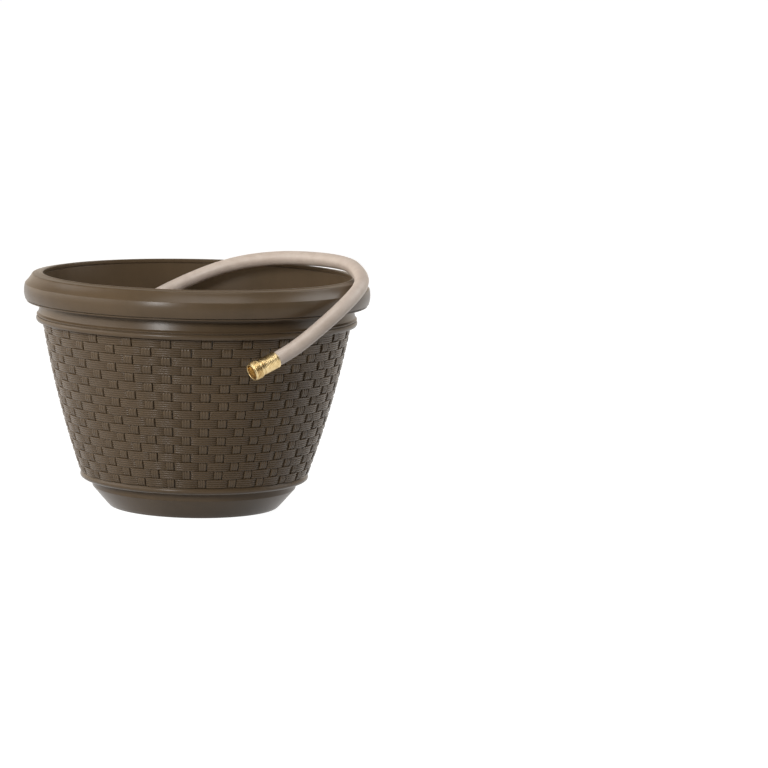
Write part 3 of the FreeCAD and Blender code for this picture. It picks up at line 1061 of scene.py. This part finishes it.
@dataclass(frozen=True)
class Axis:
    """A hose end's seat and way, from a thread that the frame states."""

    seat: Vector
    way: Vector

    @classmethod
    def from_mount(cls, name: str, ahead: float) -> "Axis":
        """Reads a thread's mount.

        Args:
            name: The mount's name.
            ahead: How far the mount's point is ahead of the sleeve's rear edge.

        Returns:
            The axis, its seat at that rear edge, in millimetres.
        """
        mount = next(m for m in frame["record"]["mounts"] if m["name"] == name)
        way = Vector(mount["axis"]).normalized()
        return cls(Vector(mount["pos_m"]) / MM - way * ahead, way)

    def at(self, along: float) -> Vector:
        """A point on the axis."""
        return self.seat + self.way * along

    def matrix(self) -> Matrix:
        """Turns +Z along the axis and moves it to the seat."""
        turn = Vector((0.0, 0.0, 1.0)).rotation_difference(self.way).to_matrix().to_4x4()
        return Matrix.Translation(self.seat) @ turn


@dataclass
class Hose:
    """The hose: out of the port, 17 packed turns, up the inside and over the rim."""

    finish: bpy.types.Material
    male: Axis
    female: Axis
    diameter: float = 21.0
    real_length: float = 15240.0
    end_depth: float = 24.6
    pitch: float = 21.2
    inner_turn: float = 88.0
    bottom_turn: float = 17.3
    points_per_turn: int = 20
    first_angle: float = 63.0
    last_angle: float = 190.0
    change: float = 32.0
    # column and layer of each turn, in winding order from the tail
    turns: tuple[tuple[int, int], ...] = (
        (3, 2), (3, 3), (2, 3), (2, 2), (2, 1), (1, 0), (0, 0), (0, 1), (1, 1), (1, 2), (0, 2), (0, 3),
        (1, 3), (0, 4), (1, 4), (2, 4), (3, 4),
    )
    # the tail through the port, from outside to inside
    tail: tuple[Point, ...] = ((-23, 195, 76), (3, 166, 75), (36, 144, 66), (68, 133, 61))
    # one loose turn, the climb up the inside, the arch over the rim and the hanging end
    run: tuple[Point, ...] = (
        (-153, -27, 102), (-150, 40, 108), (-119, 100, 118), (-65, 141, 124), (0, 155, 124),
        (65, 141, 124), (119, 100, 124), (150, 40, 124), (153, -27, 124), (127, -89, 124),
        (78, -134, 124), (20, -155, 124), (-40, -155, 125), (-101, -128, 130), (-155, -74, 146),
        (-180, -5, 175), (-176, 68, 205), (-143, 131, 240), (-91, 178, 275), (-22, 194, 311),
        (49, 183, 341), (118, 150, 355), (180, 98, 359), (220, 29, 359.6), (232, -47, 357),
        (239, -125, 346), (208, -197, 320), (151, -228, 272), (122, -239, 253),
    )

    def turn_place(self, index: int) -> tuple[float, float]:
        """Radius and height of a packed turn."""
        column, layer = self.turns[min(max(index, 0), len(self.turns) - 1)]
        return self.inner_turn + column * self.pitch, self.bottom_turn + layer * self.pitch

    def coil(self) -> list[Vector]:
        """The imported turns' control points.

        Returns:
            The points, from the tail to the run.
        """
        sweep = self.first_angle - self.last_angle + 360.0 * len(self.turns)
        count = round(sweep * self.points_per_turn / 360.0)
        turn = sweep / len(self.turns)
        outset = 1.0 / math.cos(math.pi / self.points_per_turn)
        points = []
        for index in range(1, count):
            gone = sweep * index / count
            nearest = round(gone / turn)
            share = ease(0.5 + (gone - nearest * turn) / (2.0 * self.change))
            before, after = self.turn_place(nearest - 1), self.turn_place(nearest)
            radius = (before[0] + (after[0] - before[0]) * share) * outset
            height = before[1] + (after[1] - before[1]) * share
            angle = math.radians(self.first_angle - gone)
            points.append(Vector((radius * math.cos(angle), radius * math.sin(angle), height)))
        return points

    def build(self, with_pieces: Sequence[bpy.types.Object]) -> bpy.types.Object:
        """Makes the hose.

        Args:
            with_pieces: The brass ends; not used.

        Returns:
            The hose.
        """
        route = [self.female.at(self.end_depth)]
        route += [Vector(p) for p in self.tail]
        route += self.coil()
        route += [Vector(p) for p in self.run]
        route.append(self.male.at(self.end_depth))
        curve = bpy.data.curves.new("hose", "CURVE")
        curve.dimensions = "3D"
        curve.resolution_u = 6
        curve.bevel_depth = self.diameter / 2.0 * MM
        curve.bevel_resolution = 5
        curve.use_fill_caps = True
        spline = curve.splines.new("NURBS")
        spline.points.add(len(route) - 1)
        for point, place in zip(spline.points, route):
            point.co = (*(place * MM), 1.0)
        spline.order_u = 3
        spline.use_endpoint_u = True
        spline.use_smooth = True
        curve.materials.append(self.finish)
        hose = linked("hose", curve)
        dressed(hose, Slot.HOSE, Body.POT, ["hose_run", "hose_coil", "hose_tail"])
        tuple(self.female.at(self.end_depth) * MM)
        self.real_length * MM
        self.diameter * MM
        return hose


# --- The brass ends ---


@dataclass(frozen=True)
class Thread:
    """A garden hose thread, 11.5 turns to the inch."""

    start: float
    end: float
    depth: float
    pitch: float = 25.4 / 11.5
    flank: float = 3.4
    crest: float = 1.35

    def rise(self, angle: float, height: float) -> float:
        """The thread's crest over its root.

        Args:
            angle: Angle round the axis, in radians.
            height: Place along the axis.

        Returns:
            Millimetres over the root.
        """
        phase = (height / self.pitch - angle / math.tau) % 1.0
        tooth = min(1.0, max(0.0, self.crest - self.flank * abs(phase - 0.5)))
        run_in = ease((height - self.start) / self.pitch)
        run_out = ease((self.end - height) / self.pitch)
        return self.depth * tooth * run_in * run_out


@dataclass
class HoseEnd:
    """What both ends share: a crimped sleeve over the hose and a stem in its bore."""

    finish: bpy.types.Material
    axis: Axis
    segments: int = 96
    sleeve: float = 26.0
    sleeve_radius: float = 12.1
    hose_radius: float = 10.55
    bore: float = 7.95
    waterway: float = 6.25
    rings: int = 9
    ring_depth: float = 0.45
    rings_start: float = 2.2
    rings_end: float = 23.4
    ring_steps: int = 8
    ring_round: float = 0.7
    stem_start: float = 2.0
    stem_play: float = 0.1
    sleeve_gap: float = 0.05

    def seated(
        self, surface: Surface, node: str, crease: float = 40.0, body: Body = Body.POT
    ) -> bpy.types.Object:
        """Writes a brass piece on the end's axis."""
        place = self.axis.matrix()
        return surface.piece(f"{node}_brass", self.finish, Slot.BRASS, body, [node], crease, place)

    def ferrule(self, name: str) -> bpy.types.Object:
        """The crimped sleeve with its pressed rings.

        Args:
            name: The CAD node that it stands for.

        Returns:
            The piece.
        """
        profile = outline(
            (self.hose_radius, 1.2), (self.hose_radius, 0.0, 0.2), (self.sleeve_radius - 0.3, 0.0, 0.5),
            (self.sleeve_radius, 1.4, 0.5),
        )
        samples = self.rings * self.ring_steps
        for index in range(samples + 1):
            share = index / samples
            groove = 0.5 - 0.5 * math.cos(math.tau * self.rings * share)
            height = self.rings_start + (self.rings_end - self.rings_start) * share
            profile.append((self.sleeve_radius - self.ring_depth * groove**self.ring_round, height))
        profile += outline(
            (self.sleeve_radius, self.sleeve - 2.2), (self.sleeve_radius, self.sleeve, 0.6),
            (self.bore, self.sleeve, 0.2), (self.bore, self.sleeve - 1.4),
        )
        surface = Surface()
        surface.turned(profile, self.segments)
        return self.seated(surface, name)


@dataclass
class MaleEnd(HoseEnd):
    """The end with the outside thread, which hangs in front."""

    root_radius: float = 12.25
    thread: Thread = Thread(29.2, 42.0, 1.2)
    thread_steps: int = 60
    length: float = 42.8
    mouth: float = 10.2
    mouth_floor: float = 32.3

    def fitting(self) -> bpy.types.Object:
        """The threaded stem.

        Returns:
            The piece.
        """
        stem, shoulder = self.bore - self.stem_play, self.sleeve + self.sleeve_gap
        neck = self.sleeve_radius - 0.6
        outside = outline(
            (self.waterway, self.stem_start), (stem, self.stem_start, 0.3), (stem, shoulder),
            (neck, shoulder, 0.3), (neck, 28.1, 0.3), (self.root_radius, 28.5, 0.3),
        )
        span, steps = self.thread.end - self.thread.start, self.thread_steps
        outside += [(self.root_radius, self.thread.start + span * i / steps) for i in range(steps + 1)]
        surface = Surface()
        surface.turned(outside, self.segments, self.crests)
        mouth = outline(
            (self.root_radius, self.thread.end), (self.root_radius, self.length, 0.6),
            (self.mouth, self.length, 0.6), (self.mouth, self.mouth_floor, 0.4),
            (8.2, self.mouth_floor, 0.4), (self.waterway, 29.9, 0.6), (self.waterway, self.stem_start),
        )
        surface.turned(mouth, self.segments)
        return self.seated(surface, "male_fitting", 32.0)

    def crests(self, angle: float, radius: float, height: float) -> float:
        """The thread, only where the root is."""
        return self.thread.rise(angle, height) if radius >= self.root_radius else 0.0


@dataclass
class FemaleEnd(HoseEnd):
    """The tap end: a flanged stem, a washer and a swivel nut."""

    rubber: bpy.types.Material | None = None
    neck: float = 9.0
    flange: float = 11.7
    flange_rear: float = 29.4
    flange_front: float = 31.6
    washer_front: float = 34.6
    washer_radius: float = 12.6
    washer_hole: float = 7.9
    nut_rear: float = 26.4
    thread_start: float = 35.0
    nut_front: float = 46.5
    nut_radius: float = 15.75
    nut_lip_radius: float = 9.4
    nut_lip_front: float = 29.0
    nut_recess: float = 13.1
    nut_segments: int = 144
    flutes: int = 12
    flute_depth: float = 0.9
    flute_share: float = 0.27
    flute_round: float = 0.8
    grip_depth: float = 1.2
    thread_steps: int = 56
    thread_depth: float = 0.8
    thread_end: float = 46.0
    nut_bevel: float = 0.3

    def stem(self) -> bpy.types.Object:
        """The flanged stem.

        Returns:
            The piece.
        """
        stem, shoulder = self.bore - self.stem_play, self.sleeve + self.sleeve_gap
        section = outline(
            (self.waterway, 20.0), (self.waterway, self.stem_start, 0.2), (stem, self.stem_start, 0.3),
            (stem, shoulder), (self.neck, shoulder, 0.2), (self.neck, self.flange_rear, 0.3),
            (self.flange, self.flange_rear, 0.4), (self.flange, self.flange_front, 0.4),
            (self.waterway, self.flange_front, 0.5), (self.waterway, 20.0),
        )
        surface = Surface()
        surface.turned(section, self.segments)
        return self.seated(surface, "female_stem")

    def washer(self) -> bpy.types.Object:
        """The rubber washer on the flange.

        Returns:
            The piece.
        """
        rear, front = self.flange_front + 0.02, self.washer_front
        middle = (rear + front) / 2.0
        hole, edge = self.washer_hole, self.washer_radius
        section = outline(
            (hole, middle), (hole, rear, 0.5), (edge, rear, 0.5), (edge, front, 0.5),
            (hole, front, 0.5), (hole, middle),
        )
        surface = Surface()
        surface.turned(section, self.segments)
        name, place = "hose_washer", self.axis.matrix()
        return surface.piece(f"{name}_rubber", self.rubber, Slot.WASHER, Body.POT, [name], place=place)

    def flute(self, angle: float, radius: float, height: float) -> float:
        """The grip flutes round the nut.

        Args:
            angle: Angle round the axis, in radians.
            radius: The plain radius.
            height: Place along the axis.

        Returns:
            The change of radius.
        """
        if radius < self.nut_radius - self.grip_depth:
            return 0.0
        across = (angle * self.flutes / math.tau) % 1.0 - 0.5
        hollow = max(0.0, 1.0 - (across / self.flute_share) ** 2)
        return -self.flute_depth * hollow**self.flute_round

    def nut(self) -> bpy.types.Object:
        """The swivel nut with its flutes and inside thread.

        Returns:
            The piece.
        """
        rear, front, grip = self.nut_rear, self.nut_front, self.nut_radius
        lip, lip_front, recess = self.nut_lip_radius, self.nut_lip_front, self.nut_recess
        outside = outline(
            (lip, lip_front, 0.2), (lip, rear, 0.3), (grip - 1.0, rear, 0.3), (grip, rear + 1.0, 0.4),
            (grip, front - 1.0, 0.4), (grip - 1.0, front, 0.3), (recess + 0.2, front, 0.3),
        )
        surface = Surface()
        surface.turned(outside, self.nut_segments, self.flute)
        thread = Thread(self.thread_start, self.thread_end, self.thread_depth)
        mouth, steps = front - self.nut_bevel, self.thread_steps
        bore = [(recess, mouth - (mouth - self.thread_start) * i / steps) for i in range(steps + 1)]
        inside = [(recess + 0.2, front), *bore, (recess, lip_front), (lip, lip_front)]
        surface.turned(inside, self.nut_segments, lambda angle, radius, height: -thread.rise(angle, height))
        return self.seated(surface, "swivel_nut", 32.0, Body.NUT)


# --- The studio ---


@dataclass
class Camera:
    """The camera, aimed so that a point on the pot's axis comes at its place in the frame."""

    place: Point = (0.0, -5122.0, 855.0)
    target: Point = (0.0, 0.0, 170.5)
    picture: float = 768.0
    target_pixel: tuple[float, float] = (195.85, 390.0)
    focal_pixels: float = 3500.0
    roll: float = 0.0177
    sensor: float = 36.0

    def build(self) -> None:
        """Makes the camera and sets it as the scene's."""
        data = bpy.data.cameras.new("camera")
        data.sensor_width = self.sensor
        data.lens = self.focal_pixels / self.picture * self.sensor
        data.clip_end = 100.0
        camera = linked("camera", data)
        aim = (Vector(self.target) - Vector(self.place)).to_track_quat("-Z", "Y")
        roll = Quaternion((0.0, 0.0, 1.0), self.roll)
        across = (self.target_pixel[0] - self.picture / 2.0) / self.focal_pixels
        up = (self.picture / 2.0 - self.target_pixel[1]) / self.focal_pixels
        offset = Vector((across, up, -1.0)).rotation_difference(Vector((0.0, 0.0, -1.0)))
        camera.rotation_mode = "QUATERNION"
        camera.rotation_quaternion = aim @ roll @ offset
        camera.location = Vector(self.place) * MM
        bpy.context.scene.camera = camera


@dataclass(frozen=True)
class Softbox:
    """An area light aimed at the pot."""

    name: str
    azimuth: float
    elevation: float
    distance: float
    width: float
    height: float
    power: float

    def build(self, centre: Vector) -> None:
        """Makes the light.

        Args:
            centre: What it is aimed at, in metres.
        """
        data = bpy.data.lights.new(self.name, "AREA")
        data.shape = "RECTANGLE"
        data.size = self.width
        data.size_y = self.height
        data.energy = self.power
        lamp = linked(self.name, data)
        turn, rise = math.radians(self.azimuth), math.radians(self.elevation)
        way = Vector((math.sin(turn) * math.cos(rise), -math.cos(turn) * math.cos(rise), math.sin(rise)))
        lamp.location = centre + way * self.distance
        lamp.rotation_mode = "QUATERNION"
        lamp.rotation_quaternion = (-way).to_track_quat("-Z", "Y")


@dataclass
class Studio:
    """Floor, lights and surroundings."""

    floor_half: float = 90.0
    aim: Point = (0.0, 0.0, 0.2)
    ambient: float = 0.1
    glow: float = 1.3
    glow_height: float = 0.5
    glow_start: float = 0.2
    wall: float = 1.1
    wall_way: Point = (-0.985, -0.17, 0.0)
    wall_edge: float = 0.25
    wall_edge_fade: float = 2.0
    wall_height: float = 0.6
    wall_top_fade: float = 3.0
    tint: Colour = Colour(255, 242, 226)
    lights: tuple[Softbox, ...] = (
        Softbox("key", -84.0, 26.0, 2.6, 2.8, 1.4, 28.0),
        Softbox("spark", -26.0, 20.0, 2.8, 0.45, 0.7, 34.0),
        Softbox("top", 10.0, 72.0, 2.4, 1.6, 1.2, 20.0),
        Softbox("right", 95.0, 14.0, 2.6, 1.4, 1.2, 12.0),
        Softbox("back", 112.0, 44.0, 2.6, 1.4, 1.0, 18.0),
    )

    def build(self) -> None:
        """Makes them."""
        mesh = bpy.data.meshes.new("floor")
        signs = ((-1, -1), (1, -1), (1, 1), (-1, 1))
        corners = [(self.floor_half * x, self.floor_half * y, 0) for x, y in signs]
        mesh.from_pydata(corners, [], [(0, 1, 2, 3)])
        mesh.materials.append(FloorFinish().build())
        floor = linked("floor", mesh)
        for light in self.lights:
            light.build(Vector(self.aim))
        bpy.context.scene.world = self.surroundings()
        bpy.context.scene.view_settings.view_transform = "Standard"

    def surroundings(self) -> bpy.types.World:
        """A dim room with a pale backdrop low behind the pot and a white wall at its left.

        Returns:
            The world.
        """
        recipe = SkyRecipe("surroundings")
        way = recipe.node("ShaderNodeTexCoord", {}, {}, "Generated")
        behind = recipe.node("ShaderNodeSeparateXYZ", {}, {"Vector": way}, "Y")
        rise = recipe.node("ShaderNodeSeparateXYZ", {}, {"Vector": way}, "Z")
        low = (1.0 - rise / self.glow_height).clamped()
        settings = {"operation": "DOT_PRODUCT"}
        side = recipe.node("ShaderNodeVectorMath", settings, {0: way, 1: self.wall_way}, "Value")
        wide = ((side - self.wall_edge) * self.wall_edge_fade).clamped()
        tall = ((self.wall_height - rise) * self.wall_top_fade).clamped()
        backdrop = (behind + self.glow_start).clamped() * low * self.glow
        strength = backdrop + wide * tall * self.wall + self.ambient
        sky = recipe.node("ShaderNodeBackground", {}, {"Color": self.tint.linear(), "Strength": strength})
        recipe.tree.links.new(sky.socket, recipe.output.inputs["Surface"])
        return recipe.world


def main() -> None:
    """Builds the part's looks and the studio."""
    logging.basicConfig(level=logging.INFO, format="%(message)s")
    Camera().build()
    brass = BrassFinish().build()
    male_axis = Axis.from_mount("male_thread", MALE_THREAD_AHEAD)
    female_axis = Axis.from_mount("nut_thread", NUT_THREAD_AHEAD)
    male = MaleEnd(brass, male_axis)
    female = FemaleEnd(brass, female_axis, rubber=RubberFinish().build())
    fittings = [
        male.ferrule("male_ferrule"),
        male.fitting(),
        female.ferrule("female_ferrule"),
        female.stem(),
        female.washer(),
        female.nut(),
    ]
    Hose(VinylFinish().build(), male_axis, female_axis).build(fittings)
    resin = ResinFinish().build()
    PotShell(resin).build()
    Weave(resin).build()
    Studio().build()
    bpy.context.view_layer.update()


if __name__ == "__main__":
    main()
